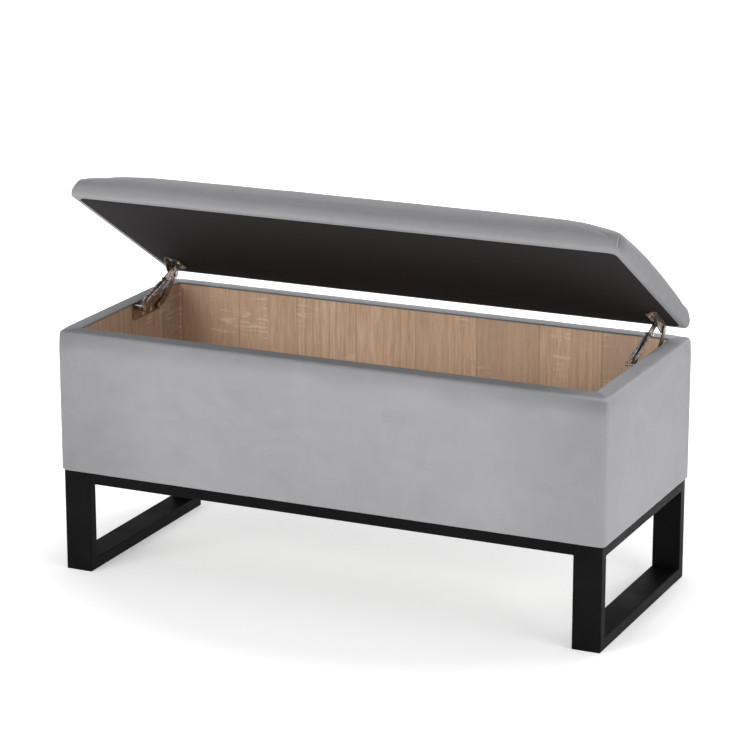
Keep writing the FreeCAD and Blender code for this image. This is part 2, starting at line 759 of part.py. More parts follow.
def make_lid(bracket_screws):
    """The upholstered lid: board, foam, velvet and the black cover underneath."""
    inset = "lid_board_inset"
    board = box("lid_board_blank", f"bench_width - 2 * {inset}", f"bench_depth - 2 * {inset}",
                "lid_board_thick", f"-(bench_width / 2 - {inset})", f"-(bench_depth - {inset})",
                LID_BOARD_BOTTOM)
    board = rounded("lid_board_rounded", board, Vector(0, 0, 1), size("lid_board_corner"))
    on_the_lid(cut("lid_board", board, bracket_screws), "lid_board")
    foam = crowned_block("lid_foam", "velvet", f"({LID_BOARD_BOTTOM} + lid_board_thick)")
    on_the_lid(foam, "lid_foam")
    outside = crowned_block("lid_outside", "0", "0")
    inside = crowned_block("lid_inside", "velvet", "velvet")
    window = box("lid_window", "bench_width - 2 * hem", "bench_depth - 2 * hem", "velvet",
                 "-(bench_width / 2 - hem)", "-(bench_depth - hem)", "0")
    cover = cut("lid_cover", outside, group("lid_hollow", [inside, window]))
    on_the_lid(cover, "lid_cover")
    sheet_blank = box("dust_cover_blank", "bench_width - 2 * dust_inset",
                      "bench_depth - 2 * dust_inset", "dust_cover_thick",
                      "-(bench_width / 2 - dust_inset)", "-(bench_depth - dust_inset)",
                      "-dust_cover_thick")
    on_the_lid(cut("lid_dust_cover", sheet_blank, bracket_screws), "lid_dust_cover")


# Corners of the angle plate's flanges and its screw spots: how far each lies forward of the lid's
# rear edge, then inwards from the upright flange or down from the lid.
FLAT_FLANGE = (("bracket_rear", "0"), ("bracket_front", "0"), ("bracket_front", "10"),
               ("78", "bracket_wide"), ("46", "bracket_wide"), ("bracket_rear", "12"))
UPRIGHT_FLANGE = (("bracket_rear", "1"), ("bracket_front", "1"), ("bracket_front", "6"),
                  ("72", "20"), ("46", "23.5"), ("bracket_rear", "20"))
BRACKET_SCREW_SPOTS = (("83", "9"), ("68", "18"), ("50", "18"))


def make_bracket_screws():
    """Pan-headed screws through each lid bracket and the dust cover into the lid board."""
    kept = []
    for side, sign in SIDES:
        screws = []
        for number, (along, across) in enumerate(BRACKET_SCREW_SPOTS):
            spot = f"flange_layer + {across}"
            x = inwards(sign, spot, spot)
            name = f"{side}_bracket_screw_{number}"
            under = "-(dust_cover_thick + flange_thick)"
            shaft = rod(name + "_shaft", "screw_radius", "bracket_screw_length",
                        x, f"-{along}", under, Rotation())
            head = rod(name + "_head", "screw_head", "pan_head_thick",
                       x, f"-{along}", f"{under} - pan_head_thick", Rotation())
            screws.append(fuse(name, [shaft, head]))
        local = group(f"{side}_bracket_screws_flat", screws)
        placed = group(f"{side}_bracket_screws", [local])
        on_the_lid(placed, f"{side}_bracket_screws")
        kept.append(local)
    return group("all_bracket_screws", kept)


def make_bracket(side, sign, bracket_screws):
    """An angle plate: one flange flat under the lid, the other hanging down to the arms."""
    body = doc.addObject("PartDesign::Body", f"{side}_bracket_body")
    upright = new_sketch(body, "YZ_Plane", f"{side}_upright_outline")
    polygon(upright, [(f"-{along}", f"-{drop}") for along, drop in UPRIGHT_FLANGE])
    pad(body, upright, "flange_thick").Reversed = sign > 0
    flat = new_sketch(body, "XY_Plane", f"{side}_flat_outline")
    flat.AttachmentOffset = FreeCAD.Placement(
        Vector(0, 0, -size("dust_cover_thick") - size("flange_thick")), Rotation())
    polygon(flat, [(f"{-sign} * {across}", f"-{along}") for along, across in FLAT_FLANGE])
    pad(body, flat, "flange_thick")
    place(body, inwards(sign, "flange_layer", "flange_layer"), "0", "0")
    arm_far = "arm_layer + arm_thick"
    pin = stepped_pin(f"{side}_front_pin_local", sign, [
        ("flange_layer", arm_far, "pin_radius"),
        ("flange_layer + flange_thick", "arm_layer", "spacer_radius"),
        (arm_far, f"{arm_far} + rivet_head_thick", "rivet_head")],
        "-arm_lid_along", "-arm_lid_drop")
    hole = rod(f"{side}_open_pivot_hole", "open_pivot_radius", "flange_thick",
               inwards(sign, "flange_layer", "flange_layer + flange_thick"),
               "-link_lid_along", "-link_lid_drop")
    tools = group(f"{side}_bracket_holes", [bracket_screws, pin, hole])
    on_the_lid(cut(f"{side}_lid_bracket", body, tools), f"{side}_lid_bracket")
    on_the_lid(group(f"{side}_front_lid_pin", [pin]), f"{side}_front_lid_pin")


# ---------------------------------------------------------------- build, check and write


def build():
    frame_screws = make_frame_screws()
    make_loops(frame_screws)
    make_rails(frame_screws)
    wall_screws = make_wall_screws()
    carcass_screws = make_carcass_screws()
    make_boards(frame_screws, carcass_screws, wall_screws)
    make_padding()
    make_covers()
    bracket_screws = make_bracket_screws()
    make_lid(bracket_screws)
    for side, sign in SIDES:
        pins = make_root_pins(side, sign)
        make_wall_plate(side, sign, wall_screws, pins)
        make_front_arm(side, sign)
        make_rear_arm(side, sign)
        make_springs(side, sign)
        make_bracket(side, sign, bracket_screws)
    doc.recompute()


def check():
    """Stop on any object that failed, and on any sub-part without a sound shape."""
    for obj in doc.Objects:
        if {"Invalid", "Error"} & set(obj.State):
            raise RuntimeError(f"{obj.Name} failed: {obj.State}")
    for obj in SUB_PARTS:
        if obj.Shape.isNull() or not obj.Shape.isValid() or not obj.Shape.Solids:
            raise RuntimeError(f"{obj.Label} has no sound shape")


def write():
    os.makedirs("parts", exist_ok=True)
    for obj in SUB_PARTS:
        obj.Shape.exportStep(f"parts/{obj.Label}.step")
        print(obj.Label, len(obj.Shape.Solids), round(obj.Shape.Volume))


build()
check()
write()
report_motion()
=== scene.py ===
import math

import bmesh
import bpy
from mathutils import Matrix, Vector, noise
from mathutils.bvhtree import BVHTree


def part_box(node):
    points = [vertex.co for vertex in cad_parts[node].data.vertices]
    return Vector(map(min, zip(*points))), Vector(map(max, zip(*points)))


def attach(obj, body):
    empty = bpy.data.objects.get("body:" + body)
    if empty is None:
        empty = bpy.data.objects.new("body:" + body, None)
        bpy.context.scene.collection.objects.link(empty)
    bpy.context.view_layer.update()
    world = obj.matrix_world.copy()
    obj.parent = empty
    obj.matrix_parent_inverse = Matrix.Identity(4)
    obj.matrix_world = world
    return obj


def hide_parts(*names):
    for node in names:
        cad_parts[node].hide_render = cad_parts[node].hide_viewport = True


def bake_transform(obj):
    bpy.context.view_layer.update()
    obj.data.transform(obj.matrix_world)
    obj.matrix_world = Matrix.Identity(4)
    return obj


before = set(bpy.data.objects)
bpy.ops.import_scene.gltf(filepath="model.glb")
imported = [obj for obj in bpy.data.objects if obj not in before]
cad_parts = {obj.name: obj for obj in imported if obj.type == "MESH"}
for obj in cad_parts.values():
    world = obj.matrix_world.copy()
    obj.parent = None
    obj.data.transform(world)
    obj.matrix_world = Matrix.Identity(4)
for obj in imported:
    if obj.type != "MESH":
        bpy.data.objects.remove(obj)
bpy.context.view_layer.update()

MM = 0.001
HAIR = 0.1 * MM  # the gap between faces that all but touch
WELD = 0.01 * MM  # points nearer to each other than this become one

# Each side's direction along itself and outwards: front, right, rear, left
SIDES = (((1, 0), (0, -1)), ((0, 1), (1, 0)), ((-1, 0), (0, 1)), ((0, -1), (-1, 0)))

# The box's velvet and padding. The lip is where the velvet stands past the boards inside the rim,
# and the sole is the velvet's lowest edge.
SKIN = 2 * MM
STEP = 6 * MM
BOX_CORNER = 11 * MM
RIM_ROUND = 7 * MM
SOLE_ROUND = 4 * MM
LIP_PROUD = 0.8 * MM
LIP_THICK = 1.6 * MM
LIP_FOLD = 1 * MM
PANEL_BULGE = 2.2 * MM
PADDING_GAP = 0.3 * MM

side_low, side_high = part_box("right_cover")
HALF_X, HALF_Y, RIM = side_high
SOLE = side_low.z + HAIR
RIM_WIDE = HALF_X - side_low.x

# The lid lies in a frame of its own: Y is 0 on its rear edge and runs forwards to minus its
# depth, and Z is 0 on the velvet's underside. It stands open at LID_TILT. The hem is the velvet
# turned under the board, and the dust cover's edge lies on it.
LID_TILT = math.radians(31)
LID_DEPTH = 2 * HALF_Y
LID_SIDE = 44 * MM
LID_CROWN = 24 * MM
LID_CORNER = 14 * MM
LID_BOARD_TOP = 14 * MM
FOAM_GAP = 9 * MM
HEM = 24 * MM

DUST_INSET = 15 * MM
DUST_CORNER = 13 * MM
DUST_THICK = 0.8 * MM
DUST_NODE_THICK = 1 * MM

dust_low, dust_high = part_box("lid_dust_cover")
LID_PLACE = Matrix.Translation((
    0,
    dust_high.y + DUST_INSET * math.cos(LID_TILT),
    dust_low.z - DUST_INSET * math.sin(LID_TILT) + DUST_NODE_THICK * math.cos(LID_TILT),
)) @ Matrix.Rotation(-LID_TILT, 4, "X")


# ---------------------------------------------------------------- shapes

def smooth(share):
    """Ease from 0 to 1, and stay at those beyond."""
    share = min(max(share, 0), 1)
    return share * share * (3 - 2 * share)


def drift(*place):
    """Smooth noise from -1 to 1."""
    return noise.noise(Vector(place))


def shares(half, step):
    """Places along a side from -1 to 1, closer together beside its two ends."""
    count = max(round(2 * half / step), 2)
    inner = [2 * number / count - 1 for number in range(1, count)]
    near = [1 - gap / half for gap in (1.2 * MM, 3 * MM)]
    return [-1] + [-share for share in near] + inner + near[::-1] + [1]


def ring(half_x, half_y, inset, radius, places):
    """A rounded rectangle's points, each with its outward direction, side and share of the side."""
    arc_steps = 6
    corner = max(radius, inset)
    bend = max(radius - inset, 0)
    points = []
    for side, (along, outward) in enumerate(SIDES):
        along, outward = Vector(along), Vector(outward)
        reach = abs(along.x) * half_x + abs(along.y) * half_y - corner
        out = abs(outward.x) * half_x + abs(outward.y) * half_y - corner
        for share in places[side % 2]:
            points.append((along * reach * share + outward * (out + bend), outward, side, share))
        centre = along * reach + outward * out
        for step in range(1, arc_steps):
            angle = math.pi / 2 * step / arc_steps
            normal = outward * math.cos(angle) + along * math.sin(angle)
            points.append((centre + normal * bend, normal, side, 1))
    return points


def arc(centre, radius, first, last, steps):
    """Points of an arc in the (inset, height) plane, between two angles in degrees."""
    angles = [math.radians(first + (last - first) * step / steps) for step in range(steps + 1)]
    return [(centre[0] + radius * math.cos(a), centre[1] + radius * math.sin(a)) for a in angles]


def run(start, end, step):
    """Points of a straight line, without its last one."""
    length = math.dist(start, end)
    count = max(round(length / step), 1)
    return [(start[0] + (end[0] - start[0]) * n / count, start[1] + (end[1] - start[1]) * n / count)
            for n in range(count)]


def new_object(name, data):
    """Add an object to the scene."""
    obj = bpy.data.objects.new(name, data)
    bpy.context.scene.collection.objects.link(obj)
    return obj


def face_outwards(work):
    """Turn every face of a closed mesh outwards."""
    bmesh.ops.recalc_face_normals(work, faces=work.faces)
    if work.calc_volume(signed=True) < 0:
        bmesh.ops.reverse_faces(work, faces=work.faces)


def skin(name, loops, wrapped):
    """A mesh of quads between neighbouring closed loops of points.

    When it is wrapped, the last loop is joined to the first as well.
    """
    mesh = bpy.data.meshes.new(name)
    around = len(loops[0])
    vertices = [point for loop in loops for point in loop]
    faces = []
    for number in range(len(loops) if wrapped else len(loops) - 1):
        low, high = number * around, (number + 1) % len(loops) * around
        for step in range(around):
            after = (step + 1) % around
            faces.append((low + step, low + after, high + after, high + step))
    mesh.from_pydata(vertices, [], faces)
    work = bmesh.new()
    work.from_mesh(mesh)
    bmesh.ops.remove_doubles(work, verts=work.verts, dist=WELD)
    face_outwards(work)
    work.to_mesh(mesh)
    work.free()
    return new_object(name, mesh)


def bake_modifiers(obj):
    """Turn the object's modifiers into its own mesh."""
    graph = bpy.context.evaluated_depsgraph_get()
    mesh = bpy.data.meshes.new_from_object(obj.evaluated_get(graph))
    obj.modifiers.clear()
    obj.data = mesh


def with_modifier(obj, kind, **settings):
    """Change the object's mesh by a modifier."""
    modifier = obj.modifiers.new(kind.title(), kind)
    for key, value in settings.items():
        setattr(modifier, key, value)
    bpy.context.view_layer.update()
    bake_modifiers(obj)


def relax(obj, above, rounds):
    """Smooth the mesh above a height, where the cover is stretched over foam."""
    work = bmesh.new()
    work.from_mesh(obj.data)
    upper = [vertex for vertex in work.verts if vertex.co.z > above]
    for _ in range(rounds):
        bmesh.ops.smooth_vert(work, verts=upper, factor=0.5, use_axis_x=True, use_axis_y=True,
                              use_axis_z=True)
    work.to_mesh(obj.data)
    work.free()


def inflate(obj, held_below, free_above, pressure, frames, most):
    """Blow a closed form up as cloth, held along its bottom. No point moves more than the most."""
    group = obj.vertex_groups.new(name="held")
    for vertex in obj.data.vertices:
        share = 1 - smooth((vertex.co.z - held_below) / (free_above - held_below))
        group.add([vertex.index], share, "REPLACE")
    start = [vertex.co.copy() for vertex in obj.data.vertices]
    modifier = obj.modifiers.new("Cloth", "CLOTH")
    cloth = modifier.settings
    cloth.quality = 4
    cloth.vertex_group_mass = "held"
    cloth.use_pressure = True
    cloth.uniform_pressure_force = pressure
    cloth.effector_weights.gravity = 0
    modifier.point_cache.frame_start = 1
    modifier.point_cache.frame_end = frames
    for number in range(1, frames + 1):
        bpy.context.scene.frame_set(number)
    bake_modifiers(obj)
    bpy.context.scene.frame_set(1)
    for vertex, place in zip(obj.data.vertices, start):
        move = vertex.co - place
        if move.length > most:
            vertex.co = place + move * (most / move.length)


def tube(name, points, radius, sides):
    """A closed wire of round section along a list of points."""
    points = [Vector(point) for point in points]
    loops = []
    across = None
    for number, point in enumerate(points):
        ahead = points[min(number + 1, len(points) - 1)] - points[max(number - 1, 0)]
        ahead.normalize()
        if across is None:
            across = ahead.orthogonal().normalized()
        across = (across - ahead * across.dot(ahead)).normalized()
        up = ahead.cross(across)
        angles = [2 * math.pi * side / sides for side in range(sides)]
        loops.append([point + (across * math.cos(a) + up * math.sin(a)) * radius for a in angles])
    first, last = [points[0]] * sides, [points[-1]] * sides
    return skin(name, [first] + loops + [last], wrapped=False)


def soften(obj, angle=40):
    """Shade smooth, but keep edges sharper than the angle."""
    for face in obj.data.polygons:
        face.use_smooth = True
    work = bmesh.new()
    work.from_mesh(obj.data)
    for edge in work.edges:
        if len(edge.link_faces) == 2:
            edge.smooth = edge.calc_face_angle(0) < math.radians(angle)
    work.to_mesh(obj.data)
    work.free()


def ready(obj, body, slot, material, *nodes):
    """Give a piece its finish, its body and the nodes that it stands for, if any."""
    soften(obj)
    obj.data.materials.clear()
    obj.data.materials.append(material)
    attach(obj, body)
    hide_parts(*nodes)


# ---------------------------------------------------------------- materials

class Nodes:
    """A material's node tree, with short calls for the nodes that the finishes share."""

    def __init__(self, name, roughness, metallic=0.0, specular=0.5):
        self.material = bpy.data.materials.new(name)
        self.material.use_nodes = True
        self.tree = self.material.node_tree
        self.shader = self.tree.nodes["Principled BSDF"]
        self.shader.inputs["Roughness"].default_value = roughness
        self.shader.inputs["Metallic"].default_value = metallic
        self.shader.inputs["Specular IOR Level"].default_value = specular
        self.place = self.add("ShaderNodeTexCoord").outputs["Object"]
        self.relief = None

    def add(self, kind, **inputs):
        """A new node, with its inputs by name. An underscore stands for a space."""
        node = self.tree.nodes.new(kind)
        for key, value in inputs.items():
            self.feed(node.inputs[key.replace("_", " ")], value)
        return node

    def feed(self, socket, value):
        """Link a socket to another, or set its number."""
        if isinstance(value, bpy.types.NodeSocket):
            self.tree.links.new(value, socket)
        else:
            socket.default_value = value

    def stretched(self, scale):
        """The object's coordinates, scaled along each axis."""
        return self.add("ShaderNodeMapping", Vector=self.place, Scale=scale).outputs["Vector"]

    def noise(self, scale, detail, stretch=(1, 1, 1), distortion=0.0):
        """Noise over the object, stretched along each axis."""
        return self.noise_at(self.stretched(stretch), scale, detail, distortion)

    def noise_at(self, where, scale, detail, distortion=0.0):
        """Noise over the given coordinates."""
        node = self.add("ShaderNodeTexNoise", Vector=where, Scale=scale, Detail=detail,
                        Distortion=distortion)
        return node.outputs["Fac"]

    def cells(self, scale, stretch=(1, 1, 1)):
        """The distance from the middle of each cell of a Voronoi pattern."""
        node = self.add("ShaderNodeTexVoronoi", Vector=self.stretched(stretch), Scale=scale)
        return node.outputs["Distance"]

    def reckon(self, kind, *values):
        """The result of an arithmetic operation on one or two values."""
        node = self.tree.nodes.new("ShaderNodeMath")
        node.operation = kind
        for socket, value in zip(node.inputs, values):
            self.feed(socket, value)
        return node.outputs[0]

    def between(self, value, low, high, to_low=0.0, to_high=1.0):
        """Map a range of values onto another, and clamp it."""
        node = self.add("ShaderNodeMapRange")
        for socket, number in zip(node.inputs[:5], (value, low, high, to_low, to_high)):
            self.feed(socket, number)
        return node.outputs["Result"]

    def mixed(self, share, first, second, kind="MIX"):
        """Two colours, mixed."""
        node = self.tree.nodes.new("ShaderNodeMix")
        node.data_type = "RGBA"
        node.blend_type = kind
        self.feed(node.inputs["Factor"], share)
        for name, value in (("A", first), ("B", second)):
            socket = [s for s in node.inputs if s.name == name and s.type == "RGBA"][0]
            self.feed(socket, value if isinstance(value, bpy.types.NodeSocket) else (*value, 1))
        return [s for s in node.outputs if s.type == "RGBA"][0]

    def colour(self, value):
        """Set the shader's colour."""
        self.feed(self.shader.inputs["Base Color"], value)

    def rough(self, value):
        """Set the shader's roughness."""
        self.feed(self.shader.inputs["Roughness"], value)

    def bump(self, value, depth, strength=1.0):
        """Add a relief of that depth, in metres, on top of the reliefs before it."""
        node = self.add("ShaderNodeBump", Height=value, Distance=depth, Strength=strength)
        if self.relief is not None:
            self.feed(node.inputs["Normal"], self.relief)
        self.relief = node.outputs["Normal"]
        self.feed(self.shader.inputs["Normal"], self.relief)


def shade(colour, by):
    """A colour made lighter or darker."""
    return tuple(channel * by for channel in colour)


def painted_light_grey(nodes):
    """Painted light and shade: a grey multiplying the velvet's colour, 1 for a stored 0, 0.6 more
    per 1.

    It goes above 1, so it is made as half of itself and then added to itself.
    """
    painted_light_and_smudges = nodes.tree.nodes.new("ShaderNodeAttribute")
    painted_light_and_smudges.attribute_name = "painted_light_and_smudges"
    painted_lightness = nodes.between(painted_light_and_smudges.outputs["Fac"], -1, 2, 0.4, 2.2)
    half = nodes.reckon("MULTIPLY", painted_lightness, 0.5)
    grey = nodes.add("ShaderNodeCombineColor", Red=half, Green=half, Blue=half).outputs["Color"]
    return nodes.mixed(1, grey, grey, "ADD")


def velvet():
    """Light grey pile, mottled where it has been brushed one way and the other."""
    nodes = Nodes("velvet", 0.9, specular=0.15)
    grey = (0.316, 0.316, 0.325)
    cloudy = nodes.noise(2.6, 3, distortion=0.4)
    brushed = nodes.noise(11, 4, stretch=(1, 1, 1.5), distortion=1.6)
    strokes = nodes.noise(48, 4, stretch=(1, 1, 0.45), distortion=0.9)
    pile = nodes.noise(1500, 2)
    tone = nodes.mixed(nodes.between(cloudy, 0.35, 0.65), shade(grey, 0.94), shade(grey, 1.07))
    tone = nodes.mixed(nodes.between(brushed, 0.5, 0.62, 0, 0.28), tone, shade(grey, 1.13))
    tone = nodes.mixed(nodes.between(strokes, 0.4, 0.65, 0, 0.22), tone, shade(grey, 0.9))
    tone = nodes.mixed(nodes.between(pile, 0.3, 0.7, 0, 0.45), tone, shade(grey, 0.84))
    # The stored painted light and shade multiplies the mottled grey.
    nodes.colour(nodes.mixed(1, tone, painted_light_grey(nodes), "MULTIPLY"))
    nodes.shader.inputs["Sheen Weight"].default_value = 0.12
    nodes.shader.inputs["Sheen Roughness"].default_value = 0.45
    nodes.shader.inputs["Sheen Tint"].default_value = (0.95, 0.96, 1, 1)
    nodes.bump(brushed, 1.0 * MM, 0.2)
    nodes.bump(strokes, 0.4 * MM, 0.25)
    nodes.bump(pile, 0.12 * MM, 0.5)
    return nodes.material


def oak_colours(darkened):
    """The oak's colours, all darkened alike."""
    colours = {
        "light": (0.92, 0.655, 0.46),
        "dark": (0.65, 0.425, 0.28),
        "orange": (0.92, 0.57, 0.36),
        "grey_brown": (0.50, 0.385, 0.29),
        "sawn": (0.97, 0.80, 0.64),
    }
    return {name: shade(colour, darkened) for name, colour in colours.items()}


def oak(name, grain, across, darkened=1.0):
    """Sawn oak: narrow staves of differing tone, long grain, pores and pale saw marks.

    Grain is the number of the axis that it runs along, and across the letter of the axis that the
    staves follow each other on. Faces that look down are the board's grey back.
    """
    nodes = Nodes(name, 0.62, specular=0.3)
    oak_tone = oak_colours(darkened)
    dark = oak_tone["dark"]
    stave_width = 58 * MM
    split = nodes.add("ShaderNodeSeparateXYZ", Vector=nodes.place)
    place = split.outputs[across]
    stave = nodes.reckon("FLOOR", nodes.reckon("DIVIDE", place, stave_width))
    chance = nodes.tree.nodes.new("ShaderNodeTexWhiteNoise")
    chance.noise_dimensions = "1D"
    nodes.feed(chance.inputs["W"], stave)
    chances = nodes.add("ShaderNodeSeparateColor", Color=chance.outputs["Color"])

    # Each stave takes its figure from another part of the noise
    grain_stretch, saw_stretch = [1.0, 1.0, 1.0], [0.06, 0.06, 0.06]
    grain_stretch[grain], saw_stretch[grain] = 0.05, 0.5
    moved = nodes.tree.nodes.new("ShaderNodeVectorMath")
    moved.operation = "ADD"
    nodes.feed(moved.inputs[0], nodes.stretched(grain_stretch))
    nodes.feed(moved.inputs[1], chance.outputs["Color"])
    where = moved.outputs[0]
    broad = nodes.noise_at(where, 28, 4, 0.6)
    fibres = nodes.noise_at(where, 330, 3)
    pores = nodes.noise_at(where, 700, 2)
    rings = nodes.add("ShaderNodeTexWave", Vector=where, Scale=22, Distortion=5.5, Detail=3,
                      Detail_Scale=1.6)
    rings.bands_direction = across
    saw = nodes.noise(440, 1, saw_stretch)
    patch = nodes.noise(7, 2)

    colour = nodes.mixed(nodes.between(broad, 0.36, 0.66, 0, 0.4), oak_tone["light"], dark)
    ringed = nodes.reckon("MULTIPLY", nodes.between(rings.outputs["Fac"], 0.55, 1, 0, 0.5),
                          nodes.between(chances.outputs["Blue"], 0.45, 0.6))
    colour = nodes.mixed(ringed, colour, dark)
    colour = nodes.mixed(nodes.between(fibres, 0.42, 0.62, 0, 0.5), colour, shade(dark, 0.9))
    redder = nodes.between(chances.outputs["Red"], 0.4, 0.9, 0, 0.45)
    colour = nodes.mixed(redder, colour, oak_tone["orange"])
    duller = nodes.between(chance.outputs["Value"], 0.35, 1, 0, 0.6)
    colour = nodes.mixed(duller, colour, oak_tone["grey_brown"])
    marks = nodes.reckon("MULTIPLY", nodes.between(saw, 0.55, 0.62),
                         nodes.between(patch, 0.46, 0.54))
    marked = nodes.between(chances.outputs["Green"], 0.3, 0.6, 0, 0.6)
    colour = nodes.mixed(nodes.reckon("MULTIPLY", marks, marked), colour, oak_tone["sawn"])
    colour = nodes.mixed(nodes.between(pores, 0.58, 0.68, 0, 0.4), colour, shade(dark, 0.55))
    edge = nodes.reckon("PINGPONG", place, stave_width)
    joint = nodes.between(edge, 0.3 * MM, 1.3 * MM, 0.55, 0)
    colour = nodes.mixed(joint, colour, shade(dark, 0.5))
    normal = nodes.add("ShaderNodeNewGeometry").outputs["Normal"]
    facing = nodes.add("ShaderNodeSeparateXYZ", Vector=normal)
    back = nodes.between(facing.outputs["Z"], -0.5, -0.6)
    nodes.colour(nodes.mixed(back, colour, (0.30, 0.29, 0.28)))
    nodes.rough(nodes.between(fibres, 0.3, 0.7, 0.55, 0.72))
    nodes.bump(fibres, 0.15 * MM, 0.5)
    nodes.bump(pores, 0.1 * MM, 0.5)
    return nodes.material


def chipboard():
    """Pressed wood chips, seen on sawn faces."""
    nodes = Nodes("chipboard", 0.85, specular=0.2)
    chips = nodes.cells(260, (1, 0.6, 1))
    tone = nodes.between(nodes.noise(300, 3), 0.3, 0.7)
    colour = nodes.mixed(tone, (0.5, 0.36, 0.22), (0.34, 0.23, 0.13))
    nodes.colour(nodes.mixed(nodes.between(chips, 0, 0.6, 0.4, 0), colour, (0.62, 0.48, 0.32)))
    nodes.bump(chips, 0.3 * MM, 0.4)
    return nodes.material


def foam():
    """Open-cell upholstery foam."""
    nodes = Nodes("foam", 0.95, specular=0.1)
    cells = nodes.cells(900)
    yellowed = nodes.between(nodes.noise(12, 3), 0.35, 0.65)
    colour = nodes.mixed(yellowed, (0.78, 0.74, 0.62), (0.70, 0.64, 0.48))
    nodes.colour(nodes.mixed(nodes.between(cells, 0, 0.35, 0.5, 0), colour, (0.45, 0.41, 0.31)))
    nodes.bump(cells, 0.5 * MM, 0.6)
    return nodes.material


def dust_cloth():
    """Thin black non-woven cloth of matted fibres."""
    nodes = Nodes("dust_cloth", 0.92, specular=0.18)
    fibres = nodes.noise(900, 4, (1, 0.35, 1), 1.0)
    cross = nodes.noise(800, 4, (0.35, 1, 0.6), 1.0)
    cloudy = nodes.noise(22, 3)
    colour = nodes.mixed(nodes.between(fibres, 0.35, 0.7), (0.0135, 0.0115, 0.0125),
                         (0.023, 0.020, 0.0215))
    colour = nodes.mixed(nodes.between(cloudy, 0.35, 0.7, 0, 0.5), colour, (0.018, 0.0155, 0.017))
    nodes.colour(colour)
    nodes.bump(fibres, 0.15 * MM, 0.5)
    nodes.bump(cross, 0.15 * MM, 0.5)
    return nodes.material


def powder_coat():
    """Black powder coat with a fine orange-peel texture, rubbed slightly where it catches."""
    nodes = Nodes("black_powder_coat", 0.5, specular=0.055)
    peel = nodes.noise(1100, 3)
    worn = nodes.noise(14, 4, distortion=0.4)
    colour = nodes.mixed(nodes.between(worn, 0.35, 0.7), (0.003, 0.003, 0.0032),
                         (0.006, 0.006, 0.0062))
    nodes.colour(colour)
    nodes.rough(nodes.between(worn, 0.3, 0.7, 0.44, 0.6))
    nodes.bump(peel, 0.12 * MM, 0.35)
    return nodes.material


def plated_steel(name, clean, tarnished, roughness, rolled):
    """Plated steel with rolling marks, cloudy tarnish and small pits.

    Rolled stretches the marks along each axis.
    """
    nodes = Nodes(name, roughness, metallic=1.0)
    cloudy = nodes.noise(90, 5, distortion=0.7)
    marks = nodes.noise(1400, 2, rolled)
    pits = nodes.noise(900, 2)
    colour = nodes.mixed(nodes.between(cloudy, 0.36, 0.66), clean, tarnished)
    colour = nodes.mixed(nodes.between(pits, 0.62, 0.72, 0, 0.5), colour, shade(tarnished, 0.55))
    nodes.colour(colour)
    nodes.rough(nodes.between(cloudy, 0.3, 0.7, roughness - 0.08, roughness + 0.12))
    nodes.bump(marks, 0.06 * MM, 0.4)
    nodes.bump(pits, 0.08 * MM, 0.4)
    return nodes.material


# ---------------------------------------------------------------- the box's upholstery

def panel_relief(side, share, height, along):
    """How far the taut velvet stands out from a flat panel, at a share of its length and height."""
    dome = math.sin(math.pi * smooth(height)) * (1 - abs(share) ** 6)
    waves = 0.5 * MM * drift(along * 9, side * 7.3, height * 2.1)
    folds = drift(along * 60, side * 3.1, 4.2)
    gathers = drift(along * 42, side * 5.7, 9.4)
    near_rim = smooth((height - 0.86) / 0.12) * 0.7 * MM
    near_sole = smooth((0.1 - height) / 0.1) * 0.6 * MM
    edge = smooth((1 - abs(share)) * 8)
    return PANEL_BULGE * dome + edge * (waves * dome + near_rim * folds + near_sole * gathers)


def corner_gap(side, share):
    """How far a place on a side is from the side's nearer end."""
    half = HALF_X if side % 2 == 0 else HALF_Y
    return (1 - abs(share)) * half


def corner_tuck(side, share, inset, outward):
    """How far the velvet is drawn down and in where it is folded at a corner of the rim."""
    pull = smooth(1 - corner_gap(side, share) / (26 * MM)) * smooth(1 - inset / (16 * MM))
    return Vector((outward.x * 1.2 * MM, outward.y * 1.2 * MM, 1.2 * MM)) * pull


def rim_relief(side, share, inset, along):
    """How far the rim's top lies below flat: puckers by its outer edge, mitre seams at corners."""
    across = (inset - RIM_ROUND) / (RIM_WIDE - RIM_ROUND)
    pucker = 0.5 + 0.5 * drift(along * 55, side * 2.9, 1.7)
    waves = 0.5 + 0.5 * drift(along * 12, side * 4.3, across)
    depth = 0.8 * MM * pucker * smooth(1 - across * 1.6) + 0.15 * MM * waves * smooth(across * 3)
    gap = corner_gap(side, share)
    seam = 1.1 * MM * smooth(1 - gap / (2.4 * MM)) * smooth(across * 4)
    return min(depth, 1.2 * MM) * smooth(gap / (6 * MM)) + seam


def store_painted_light(obj, tone):
    """Store each point's painted light and shade, from the tone function, which takes a vertex."""
    painted_light_and_smudges = obj.data.attributes.new("painted_light_and_smudges", "FLOAT", "POINT")
    painted_light_and_smudges.data.foreach_set("value", [tone(vertex) for vertex in obj.data.vertices])


def panel_shade_and_smudges(place, from_corner, from_rim):
    """A panel's painted shade under the rim, darker beside its corners, and a few random smudges.
    """
    wander = drift(place.x * 11, place.y * 11, place.z * 5)
    under_rim = smooth(1 - from_rim / ((36 + 24 * wander) * MM))
    by_corner = smooth(1 - from_corner / ((270 + 110 * wander) * MM))
    smudges = smooth((drift(*place * 24) - 0.25) * 3)
    return -0.32 * under_rim - 0.28 * by_corner - 0.06 * smudges


def rim_painted_light(place, end_gap, long_gap):
    """The rim's painted light and shade, another tone on each of its four sides, parted by the
    mitre seams.
    """
    outwards = 1 - end_gap / RIM_WIDE
    end_tone = 0.8 - 0.35 * outwards if place.x > 0 else 0.1 + 0.5 * outwards
    front_tone = -0.4 + 0.5 * smooth(1 - (HALF_X - place.x) / (140 * MM))
    long_tone = 1.3 if place.y > 0 else front_tone
    on_end = smooth(0.5 + (long_gap - end_gap) / (14 * MM))
    return on_end * end_tone + (1 - on_end) * long_tone


